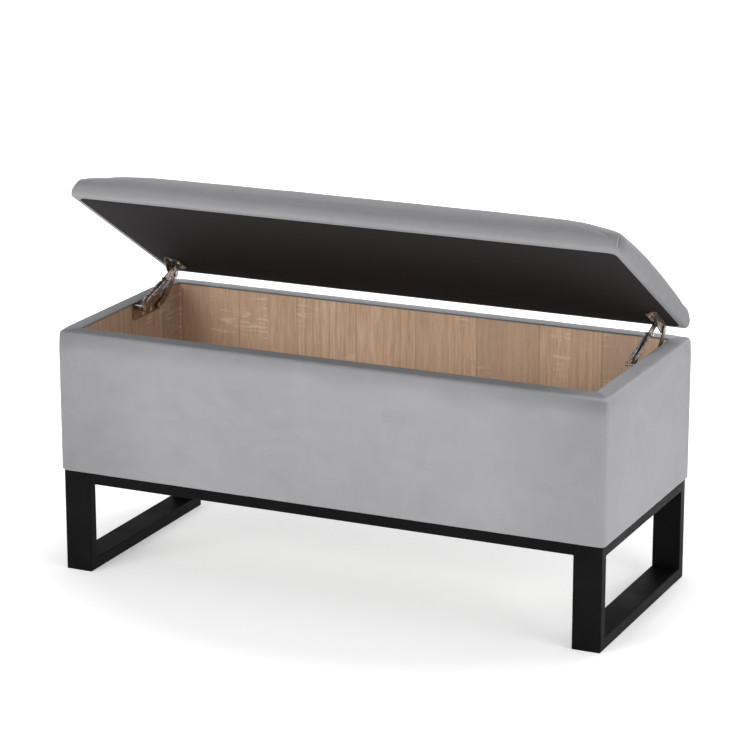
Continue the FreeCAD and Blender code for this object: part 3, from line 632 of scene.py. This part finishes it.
def box_painted_light_and_smudges(vertex):
    """Painted light and shade: the rim's on top, the panels' with smudges on the sides, both across
    the rim's rounding.
    """
    place = vertex.co
    end_gap, long_gap = HALF_X - abs(place.x), HALF_Y - abs(place.y)
    from_rim = max(RIM - RIM_ROUND - place.z, 0)
    panel_shade_with_smudges = panel_shade_and_smudges(place, max(end_gap, long_gap), from_rim)
    if end_gap < long_gap:  # the ends get less painted shade than the front and the rear
        panel_shade_with_smudges *= 0.4
    if from_rim > 0:
        return panel_shade_with_smudges
    # Faces that look up take the rim's painted light and shade, by their normal.
    level = smooth(vertex.normal.z * 1.4)
    return level * rim_painted_light(place, end_gap, long_gap) + (1 - level) * panel_shade_with_smudges


def outer_section():
    """The outside of the box's velvet as (inset, height) points: sole, side, rim and lip."""
    tuck = HALF_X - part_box("bottom_board")[1].x
    lip = RIM_WIDE + LIP_PROUD
    nose = LIP_THICK / 2
    section = run((tuck, SOLE), (SOLE_ROUND, SOLE), STEP)
    section += arc((SOLE_ROUND, SOLE + SOLE_ROUND), SOLE_ROUND, 270, 180, 4)
    section += run((0, SOLE + SOLE_ROUND), (0, RIM - RIM_ROUND), STEP)[1:]
    section += arc((RIM_ROUND, RIM - RIM_ROUND), RIM_ROUND, 180, 90, 7)
    section += run((RIM_ROUND, RIM), (lip - nose, RIM), 4 * MM)[1:]
    return section + arc((lip - nose, RIM - nose), nose, 90, -90, 5)


def inner_section():
    """The inside of the box's velvet: its edge, folded down to the boards, and back to its sole."""
    tuck = HALF_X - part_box("bottom_board")[1].x
    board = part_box("right_board")[1].z + HAIR
    fold = RIM_WIDE - LIP_FOLD
    section = [(fold, RIM - LIP_THICK), (fold, board),
               (fold - LIP_FOLD, board), (fold - LIP_FOLD, RIM - SKIN)]
    section += arc((RIM_ROUND, RIM - RIM_ROUND), RIM_ROUND - SKIN, 90, 180, 4)
    section += run((SKIN, RIM - RIM_ROUND), (SKIN, SOLE + SOLE_ROUND), 30 * MM)[1:]
    section += arc((SOLE_ROUND, SOLE + SOLE_ROUND), SOLE_ROUND - SKIN, 180, 270, 3)
    return section + [(tuck, SOLE + SKIN)]


def make_box_cover(material):
    """One velvet skin round the box: tucked under its sole, up its sides and over its rim."""
    outer = outer_section()
    places = (shares(HALF_X, STEP), shares(HALF_Y, STEP))
    loops = []
    for number, (inset, height) in enumerate(outer + inner_section()):
        showing = number < len(outer)
        level = (height - SOLE) / (RIM - SOLE)
        loop = []
        for place, outward, side, share in ring(HALF_X, HALF_Y, inset, BOX_CORNER, places):
            along = place.x if side % 2 == 0 else place.y
            point = Vector((place.x, place.y, height))
            if showing and inset < RIM_ROUND / 2:
                point += Vector((*outward, 0)) * panel_relief(side, share, level, along)
            if showing and inset >= RIM_ROUND / 2 and level > 0.5:
                point.z -= rim_relief(side, share, inset, along)
            if showing:
                point -= corner_tuck(side, share, inset, outward) * smooth((level - 0.86) / 0.12)
            loop.append(point)
        loops.append(loop)
    cover = skin("box_cover", loops, wrapped=True)
    store_painted_light(cover, box_painted_light_and_smudges)
    ready(cover, "box", "velvet", material,
          "front_cover", "rear_cover", "left_cover", "right_cover")


def make_box_padding(material):
    """The foam under the velvet, round the box's outside and over the top of its boards."""
    low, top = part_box("front_padding")[0].z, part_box("front_padding")[1].z
    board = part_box("front_board")[1].z
    wood = HALF_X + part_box("left_board")[0].x
    face = SKIN + PADDING_GAP
    bevel = 3 * MM
    inside = RIM_WIDE - 3 * MM
    section = [(wood, low), (face + bevel, low), (face, low + bevel)]
    section += run((face, low + bevel), (face, top - RIM_ROUND), 40 * MM)[1:]
    section += arc((RIM_ROUND, top - RIM_ROUND), RIM_ROUND - SKIN - PADDING_GAP, 180, 90, 4)
    section += [(inside, top - PADDING_GAP), (inside, board + PADDING_GAP),
                (wood, board + PADDING_GAP)]
    places = (shares(HALF_X, 60 * MM), shares(HALF_Y, 60 * MM))
    loops = []
    for inset, height in section:
        loop = []
        for place, outward, side, share in ring(HALF_X, HALF_Y, inset, BOX_CORNER, places):
            point = Vector((place.x, place.y, height))
            if height > board:
                point -= corner_tuck(side, share, inset, outward)
                point.z = max(point.z, board + PADDING_GAP / 2)
            loop.append(point)
        loops.append(loop)
    pad = skin("box_padding", loops, wrapped=True)
    ready(pad, "box", "foam", material,
          "front_padding", "rear_padding", "left_padding", "right_padding")


# ---------------------------------------------------------------- the lid's upholstery

def lid_top(x, y, crown):
    """How far the lid's top rises above its sides: a broad dome with full, rounded shoulders."""
    across, along = min(abs(x / HALF_X), 1), min(abs(y / HALF_Y + 1), 1)
    full = (1 - across ** 12) * (1 - along ** 2.8)
    broad = (1 - across ** 2) * (1 - along ** 2)
    near_end = smooth(1 - (1 - across) * HALF_X / (110 * MM))
    droop = near_end * 6 * along ** 2 * MM  # towards the corners
    return crown * (0.8 * full + 0.2 * broad) - droop


def pillow(name, inset, bottom, side, crown, shoulder, step, slim=0.0):
    """A closed slab with rounded corners and a crowned top, in the lid's frame.

    Its sides rise from the bottom to the height called side, and round over by the shoulder. Slim
    draws them in as they rise, to leave room for the swelling.
    """
    half_x, half_y = HALF_X - inset, HALF_Y - inset
    edge = 3 * MM
    section = run((half_y, bottom), (edge, bottom), 4 * step)
    section += arc((edge, bottom + edge), edge, 270, 180, 3)
    section += run((0, bottom + edge), (0, side - shoulder), step)[1:]
    section += arc((shoulder, side - shoulder), shoulder, 180, 90, 6)
    section += run((shoulder, side), (half_y, side), step)[1:] + [(half_y, side)]
    places = (shares(half_x, step), shares(half_y, step))
    loops = []
    for number, (reach, height) in enumerate(section):
        rise = max(height - bottom - edge, 0) / (side - bottom)
        loop = []
        for place, *_ in ring(half_x, half_y, reach + slim * min(rise, 1), LID_CORNER, places):
            point = Vector((place.x, place.y - HALF_Y, height))
            if number > len(section) / 2 or height > side - shoulder:
                lift = smooth((height - side + shoulder) / shoulder)
                point.z += lift * lid_top(point.x, point.y, crown)
            loop.append(point)
        loops.append(loop)
    return skin(name, loops, wrapped=False)


def lid_relief(place, normal):
    """How far the lid's velvet moves along its normal: gathers above the hem and slow waves."""
    level = place.z / LID_SIDE
    if place.z < 1 * MM:
        return 0
    end = abs(normal.x) > abs(normal.y)
    along = place.y if end else place.x
    upright = smooth((1 - abs(normal.z)) * 2)
    gathers = drift(along * 70, 3.3 if end else 8.1, level * 0.6)
    creases = drift(along * 130, 1.3 if end else 6.4, level)
    depth = (0.25 + 0.75 * smooth((0.3 - level) / 0.22)) * MM * smooth(level * 12)
    waves = drift(*place * 14) * 0.5 * MM * smooth((level - 0.3) * 2)
    return upright * depth * (gathers + 0.4 * creases) + waves


def lid_painted_light(vertex):
    """Painted light and shade on the lid: its band darker than its top, and darkest on its two
    ends.
    """
    on_top = smooth(vertex.normal.z * 2 - 0.9)
    return 0.45 * on_top - (1 - on_top) * (0.22 + 0.33 * abs(vertex.normal.x))


def in_hem_window(point):
    """Whether a point of the lid's underside lies inside the hem, where the board shows."""
    inside_x = abs(point.x) < HALF_X - HEM
    inside_y = -LID_DEPTH + HEM < point.y < -HEM
    return point.z < 2 * MM and inside_x and inside_y


def cut_hem_window(cover):
    """Open the velvet's underside inside its hem."""
    work = bmesh.new()
    work.from_mesh(cover.data)
    window = [face for face in work.faces if in_hem_window(face.calc_center_median())]
    bmesh.ops.delete(work, geom=window, context="FACES")
    work.to_mesh(cover.data)
    work.free()


def make_lid_cover(material):
    """The lid's velvet: a crowned cushion cover whose hem turns under the board."""
    cover = pillow("lid_velvet", inset=0, bottom=0, side=LID_SIDE, crown=LID_CROWN - SKIN,
                   shoulder=20 * MM, step=8 * MM, slim=3 * MM)
    with_modifier(cover, "REMESH", mode="VOXEL", voxel_size=5.5 * MM)
    relax(cover, above=16 * MM, rounds=12)
    inflate(cover, held_below=13 * MM, free_above=22 * MM, pressure=4, frames=9, most=5 * MM)
    with_modifier(cover, "SUBSURF", levels=1, render_levels=1)
    cover.data.update()
    normals = [vertex.normal.copy() for vertex in cover.data.vertices]
    for vertex, normal in zip(cover.data.vertices, normals):
        vertex.co += normal * lid_relief(vertex.co, normal)
        vertex.co.z = max(vertex.co.z, 0.05 * MM)
    seams = make_lid_seams(cover)
    cut_hem_window(cover)
    with_modifier(cover, "SOLIDIFY", thickness=SKIN * 0.8, offset=-1)
    store_painted_light(cover, lid_painted_light)
    cover.data.transform(LID_PLACE)
    ready(cover, "lid", "velvet", material, "lid_cover")
    for seam in seams:
        seam.data.transform(LID_PLACE)
        ready(seam, "lid", "velvet", material)


def make_lid_seams(cover):
    """A short raised seam down each corner of the lid with a painted highlight, and one beside it
    in painted shade.
    """
    surface = BVHTree.FromPolygons([v.co for v in cover.data.vertices],
                                   [list(face.vertices) for face in cover.data.polygons])
    seams = []
    for x_sign, side in ((-1, "left"), (1, "right")):
        for y_sign, end in ((-1, "front"), (1, "rear")):
            centre = Vector((x_sign * (HALF_X - LID_CORNER),
                             y_sign * (HALF_Y - LID_CORNER) - HALF_Y, 0))
            # The first seam of each pair is painted lighter, the second painted darker.
            for number, turn, painted_lightness in ((1, 20, 0.5), (2, 27, -0.8)):
                angle = math.radians(turn)
                outward = Vector((x_sign * math.sin(angle), y_sign * math.cos(angle), 0))
                points = seam_points(surface, centre, outward)
                seam = tube(f"lid_seam_{side}_{end}_{number}", points, 1.1 * MM, 8)
                store_painted_light(seam, lambda vertex, tone=painted_lightness: tone)
                seams.append(seam)
    return seams


def seam_points(surface, centre, outward):
    """Points up the lid's side, just inside its surface."""
    lowest, rise, steps = 7, 27, 14
    points = []
    for step in range(steps + 1):
        height = (lowest + rise * step / steps) * MM
        start = centre + outward * 60 * MM + Vector((0, 0, height))
        hit = surface.ray_cast(start, -outward)[0]
        points.append(hit - outward * HAIR)
    return points


def make_lid_foam(material):
    """The lid's foam block, inside the velvet and on the board."""
    pad = pillow("lid_padding", inset=FOAM_GAP, bottom=LID_BOARD_TOP, side=LID_SIDE - FOAM_GAP,
                 crown=LID_CROWN - FOAM_GAP, shoulder=16 * MM, step=30 * MM)
    pad.data.transform(LID_PLACE)
    ready(pad, "lid", "foam", material, "lid_foam")


def rounded_off(x, y, half_x, half_y, radius):
    """Move a point of a rectangle so that the rectangle's corners become round."""
    over_x = max(abs(x) - half_x + radius, 0)
    over_y = max(abs(y) - half_y + radius, 0)
    if not (over_x and over_y):
        return x, y
    shrink = max(over_x, over_y) / math.hypot(over_x, over_y)
    return (math.copysign(half_x - radius + over_x * shrink, x),
            math.copysign(half_y - radius + over_y * shrink, y))


def make_dust_cover(material):
    """The black cloth stretched under the lid, sagging slightly away from its edges."""
    half_x = HALF_X - DUST_INSET
    half_y = HALF_Y - DUST_INSET
    columns, rows = 160, 64
    work = bmesh.new()
    layers = []
    for level in (0, 1):
        grid = []
        for row in range(rows + 1):
            v = 2 * row / rows - 1
            for column in range(columns + 1):
                u = 2 * column / columns - 1
                inside = smooth(min((1 - abs(u)) * half_x, (1 - abs(v)) * half_y) / (60 * MM))
                sag = 0.6 * MM * inside * (0.6 + drift(u * 7, v * 4, 2.5))
                ripple = 0.15 * MM * drift(u * 40, v * 18, 5.5)
                height = -HAIR - level * DUST_THICK - (sag + abs(ripple) * inside)
                x, y = rounded_off(u * half_x, v * half_y, half_x, half_y, DUST_CORNER)
                grid.append(work.verts.new((x, y - HALF_Y, height)))
        layers.append(grid)
    wide = columns + 1
    for level, grid in enumerate(layers):
        for row in range(rows):
            for column in range(columns):
                a = row * wide + column
                quad = [grid[a], grid[a + 1], grid[a + 1 + wide], grid[a + wide]]
                work.faces.new(quad if level == 0 else quad[::-1])
    border = (list(range(columns)) + [r * wide + columns for r in range(rows)]
              + [rows * wide + c for c in range(columns, 0, -1)]
              + [r * wide for r in range(rows, 0, -1)])
    for place, after in zip(border, border[1:] + border[:1]):
        work.faces.new((layers[0][place], layers[1][place], layers[1][after], layers[0][after]))
    face_outwards(work)
    mesh = bpy.data.meshes.new("dust_cover")
    work.to_mesh(mesh)
    work.free()
    cloth = new_object("dust_cover", mesh)
    cloth.data.transform(LID_PLACE)
    ready(cloth, "lid", "dust_cloth", material, "lid_dust_cover")


# ---------------------------------------------------------------- the hinge springs

def make_springs(side, material):
    """Two wound tension springs with hooked ends, from the stud on the wall to the pin on the arm.

    The turns follow the arm, so the springs clear the closed lid.
    """
    low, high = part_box(f"{side}_springs")
    stud = sum(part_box(f"{side}_spring_stud"), Vector()) / 2
    pin = sum(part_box(f"{side}_spring_pin"), Vector()) / 2
    wire, hook, turn_radius = 0.7 * MM, 2.8 * MM, 2.5 * MM
    bend = 2 * MM
    along = Vector((0, pin.y - stud.y, pin.z - stud.z))
    span = along.length
    along.normalize()
    upward = Vector((0, -along.z, along.y))
    outwards = Vector((1, 0, 0))
    first_turn, last_turn = 18 * MM, span - 12 * MM
    pitch = 3.3 * wire
    turns = int((last_turn - first_turn) / pitch)
    eye_steps, turn_steps = 14, 12
    eye = [math.radians(330 - 330 * step / eye_steps) for step in range(eye_steps + 1)]
    for number, x in enumerate((low.x + hook + wire * 0.2, high.x - hook - wire * 0.2), start=1):
        local = [(hook * math.cos(a), hook * math.sin(a), 0) for a in eye]
        local += [(hook + bend, 0, 0), (first_turn - bend, 0, 0)]
        for step in range(turns * turn_steps + 1):
            angle = 2 * math.pi * step / turn_steps
            place = first_turn + (last_turn - first_turn) * step / (turns * turn_steps)
            local.append((place, turn_radius * math.cos(angle), turn_radius * math.sin(angle)))
        local += [(last_turn + bend, 0, 0), (span - hook - bend, 0, 0)]
        local += [(span - hook * math.cos(a), hook * math.sin(a), 0) for a in reversed(eye)]
        start = Vector((x, stud.y, stud.z))
        points = [start + along * a + upward * b + outwards * c for a, b, c in local]
        spring = tube(f"{side}_spring_{number}", points, wire, 6)
        soften(spring, 60)
        spring.data.materials.append(material)
        if number == 1:
            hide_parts(f"{side}_springs")
        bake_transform(spring)


# ---------------------------------------------------------------- finishes of the CAD pieces

# The first row with a word that is in a CAD piece's name gives its finish
FINISHES = (
    (("front_board", "rear_board"), "oak_upright_x"),
    (("left_board", "right_board"), "shaded_oak_upright_y"),
    (("bottom_board",), "oak_flat"),
    (("lid_board",), "chipboard"),
    (("dust_cover",), "dust_cloth"),
    (("_cover",), "velvet"),
    (("_padding", "_foam"), "foam"),
    (("screws",), "screw_steel"),
    (("spring", "pin", "pivot"), "spring_steel"),
    (("arm", "plate", "bracket"), "hinge_steel"),
    (("",), "powder_coat"),
)


def dress(materials):
    """Give every CAD piece a finish, by its name."""
    for name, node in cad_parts.items():
        finish = next(finish for words, finish in FINISHES if any(w in name for w in words))
        node.data.materials.clear()
        node.data.materials.append(materials[finish])


def make_materials():
    """Every finish, by its name."""
    return {
        "velvet": velvet(),
        "oak_upright_x": oak("oak_upright_x", 2, "X"),
        # The end boards are the oak darkened to 0.68: painted shade for the shade on the inner left
        # wall.
        "shaded_oak_upright_y": oak("shaded_oak_upright_y", 2, "Y", 0.68),
        "oak_flat": oak("oak_flat", 0, "Y", 0.92),
        "chipboard": chipboard(),
        "foam": foam(),
        "dust_cloth": dust_cloth(),
        "powder_coat": powder_coat(),
        "hinge_steel": plated_steel("hinge_steel", (0.34, 0.28, 0.23), (0.17, 0.13, 0.10), 0.34,
                                    (0.1, 0.1, 1)),
        "spring_steel": plated_steel("spring_steel", (0.62, 0.57, 0.55), (0.40, 0.36, 0.34), 0.42,
                                     (1, 0.2, 0.2)),
        "screw_steel": plated_steel("screw_steel", (0.7, 0.68, 0.64), (0.5, 0.48, 0.44), 0.32,
                                    (1, 1, 1)),
    }


# ---------------------------------------------------------------- stage

def make_floor():
    """A pale floor, much larger than the view, that glows more away from the bench.

    The glow takes it to the photo's white, and leaves the shadow under the bench.
    """
    reach = 30
    below = -0.3 * MM
    mesh = bpy.data.meshes.new("floor")
    corners = [(-reach, -reach, below), (reach, -reach, below),
               (reach, reach, below), (-reach, reach, below)]
    mesh.from_pydata(corners, [], [(0, 1, 2, 3)])
    floor = new_object("floor", mesh)
    nodes = Nodes("pale_floor", 0.8, specular=0.2)
    nodes.colour((0.93, 0.93, 0.93, 1))
    nodes.shader.inputs["Emission Color"].default_value = (1, 1, 1, 1)
    distance = nodes.tree.nodes.new("ShaderNodeVectorMath")
    distance.operation = "LENGTH"
    nodes.feed(distance.inputs[0], nodes.stretched((1, 1.25, 1)))
    nodes.feed(nodes.shader.inputs["Emission Strength"],
               nodes.between(distance.outputs["Value"], 0.5, 0.95, 0.32, 0.9))
    mesh.materials.append(nodes.material)


def make_sky():
    """Soft white light from all round, weaker from straight above."""
    world = bpy.data.worlds.new("studio")
    bpy.context.scene.world = world
    world.use_nodes = True
    tree = world.node_tree
    background = tree.nodes["Background"]
    where = tree.nodes.new("ShaderNodeTexCoord")
    split = tree.nodes.new("ShaderNodeSeparateXYZ")
    fade = tree.nodes.new("ShaderNodeMapRange")
    tree.links.new(where.outputs["Generated"], split.inputs[0])
    tree.links.new(split.outputs["Z"], fade.inputs["Value"])
    for key, value in (("From Min", 0.0), ("From Max", 0.7), ("To Min", 0.78), ("To Max", 0.34)):
        fade.inputs[key].default_value = value
    tree.links.new(fade.outputs["Result"], background.inputs["Strength"])
    background.inputs["Color"].default_value = (1, 1, 1, 1)


def make_light(name, place, target, size, power):
    """A rectangular light, in metres and watts, turned to its target."""
    light = bpy.data.lights.new(name, "AREA")
    light.shape = "RECTANGLE"
    light.size, light.size_y = size
    light.energy = power
    obj = new_object(name, light)
    obj.location = place
    obj.rotation_euler = (Vector(target) - Vector(place)).to_track_quat("-Z", "Y").to_euler()


def make_camera():
    """The camera fitted to the photo: 24.67 degrees to the right of the front, 15.887 down."""
    camera = bpy.data.cameras.new("camera")
    camera.sensor_width = 36
    camera.lens = 144.26
    obj = new_object("camera", camera)
    obj.location = (2.0585, -4.476, 1.758)
    obj.rotation_euler = (math.radians(74.113), 0, math.radians(24.67))
    bpy.context.scene.camera = obj


make_camera()
make_floor()
make_sky()
make_light("key", (-1.8, -3.8, 2.2), (0, 0, 0.3), (2.4, 1.8), 74)
make_light("back_light", (0.8, 3.4, 2.4), (0, 0, 0.4), (3.0, 1.4), 50)
make_light("right_fill", (3.6, -1.2, 1.6), (0, 0, 0.3), (2.0, 1.6), 42)
bpy.context.scene.view_settings.view_transform = "Standard"

materials = make_materials()
dress(materials)
make_box_cover(materials["velvet"])
make_box_padding(materials["foam"])
make_lid_cover(materials["velvet"])
make_lid_foam(materials["foam"])
make_dust_cover(materials["dust_cloth"])
for hinge_side in ("left", "right"):
    make_springs(hinge_side, materials["spring_steel"])
